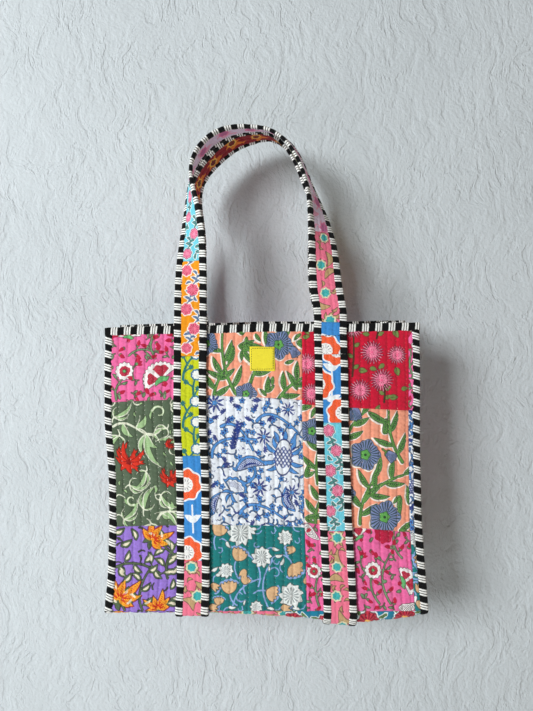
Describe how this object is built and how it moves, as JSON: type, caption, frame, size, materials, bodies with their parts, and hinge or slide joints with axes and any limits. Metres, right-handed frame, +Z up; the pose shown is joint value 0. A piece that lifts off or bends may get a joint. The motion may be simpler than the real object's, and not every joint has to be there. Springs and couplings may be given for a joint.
{
  "type": "knitting bag",
  "caption": "Soft quilted patchwork tote with a flat bottom, folded side gussets, striped bound edges and two twisted strap handles, hanging open-topped from a hook.",
  "frame": {"origin": "hang point: where a hook carries both handles, level with the underside of their crowns, midway between front and back", "axes": "+X to the right as seen from the front, +Y towards the back (the wall), +Z up"},
  "size_m": [0.41, 0.1192, 0.6404],
  "materials": {
    "pink_print": "printed cotton, hot pink ground",
    "olive_print": "printed cotton, olive ground",
    "lilac_print": "printed cotton, lilac ground",
    "peach_print": "printed cotton, peach ground",
    "blue_white_print": "printed cotton, white ground with blue",
    "teal_print": "printed cotton, teal ground",
    "crimson_print": "printed cotton, crimson ground",
    "wadding": "quilted cotton wadding, covered",
    "lining": "plain cotton lining, quilted",
    "binding": "woven cotton tape, black with off-white stripes",
    "strap_print": "patched printed cotton, quilted",
    "label": "blank woven label",
    "thread": "cotton thread"
  },
  "bodies": {
    "bag": {"back_lining": "lining", "back_patch_centre_bottom": "olive_print", "back_patch_centre_middle": "pink_print", "back_patch_centre_top": "lilac_print", "back_patch_edge_bottom": "pink_print", "back_patch_edge_middle": "olive_print", "back_patch_edge_top": "peach_print", "back_patch_left_bottom": "peach_print", "back_patch_left_middle": "crimson_print", "back_patch_left_top": "teal_print", "back_patch_right_bottom": "crimson_print", "back_patch_right_middle": "teal_print", "back_patch_right_top": "blue_white_print", "back_wadding": "wadding", "blank_label": "label", "bottom_lining": "lining", "bottom_patch_centre": "peach_print", "bottom_patch_left": "pink_print", "bottom_patch_right": "teal_print", "bottom_wadding": "wadding", "front_lining": "lining", "front_patch_centre_bottom": "teal_print", "front_patch_centre_middle": "blue_white_print", "front_patch_centre_top": "peach_print", "front_patch_edge_bottom": "teal_print", "front_patch_edge_middle": "blue_white_print", "front_patch_edge_top": "pink_print", "front_patch_left_bottom": "lilac_print", "front_patch_left_middle": "olive_print", "front_patch_left_top": "pink_print", "front_patch_right_bottom": "pink_print", "front_patch_right_middle": "peach_print", "front_patch_right_top": "crimson_print", "front_wadding": "wadding", "left_gusset_lining": "lining", "left_gusset_patch_bottom": "peach_print", "left_gusset_patch_middle": "teal_print", "left_gusset_patch_top": "crimson_print", "left_gusset_wadding": "wadding", "left_seam_binding": "binding", "left_strap_band": "strap_print", "left_strap_inner_binding": "binding", "left_strap_outer_binding": "binding", "right_gusset_lining": "lining", "right_gusset_patch_bottom": "olive_print", "right_gusset_patch_middle": "pink_print", "right_gusset_patch_top": "lilac_print", "right_gusset_wadding": "wadding", "right_seam_binding": "binding", "right_strap_band": "strap_print", "right_strap_inner_binding": "binding", "right_strap_outer_binding": "binding", "tacking_threads": "thread", "top_binding": "binding"},
    "front_handle": {"front_handle_band": "strap_print", "front_handle_inner_binding": "binding", "front_handle_outer_binding": "binding"},
    "back_handle": {"back_handle_band": "strap_print", "back_handle_inner_binding": "binding", "back_handle_outer_binding": "binding"}
  },
  "joints": [
    {"name": "front_handle_hinge", "type": "hinge", "parent": "bag", "child": "front_handle", "pos_m": [0, -0.04462, -0.2718], "axis": [1, 0, 0], "range_deg": [0, 165]},
    {"name": "back_handle_hinge", "type": "hinge", "parent": "bag", "child": "back_handle", "pos_m": [0, 0.04462, -0.2718], "axis": [-1, 0, 0], "range_deg": [0, 165]}
  ]
}
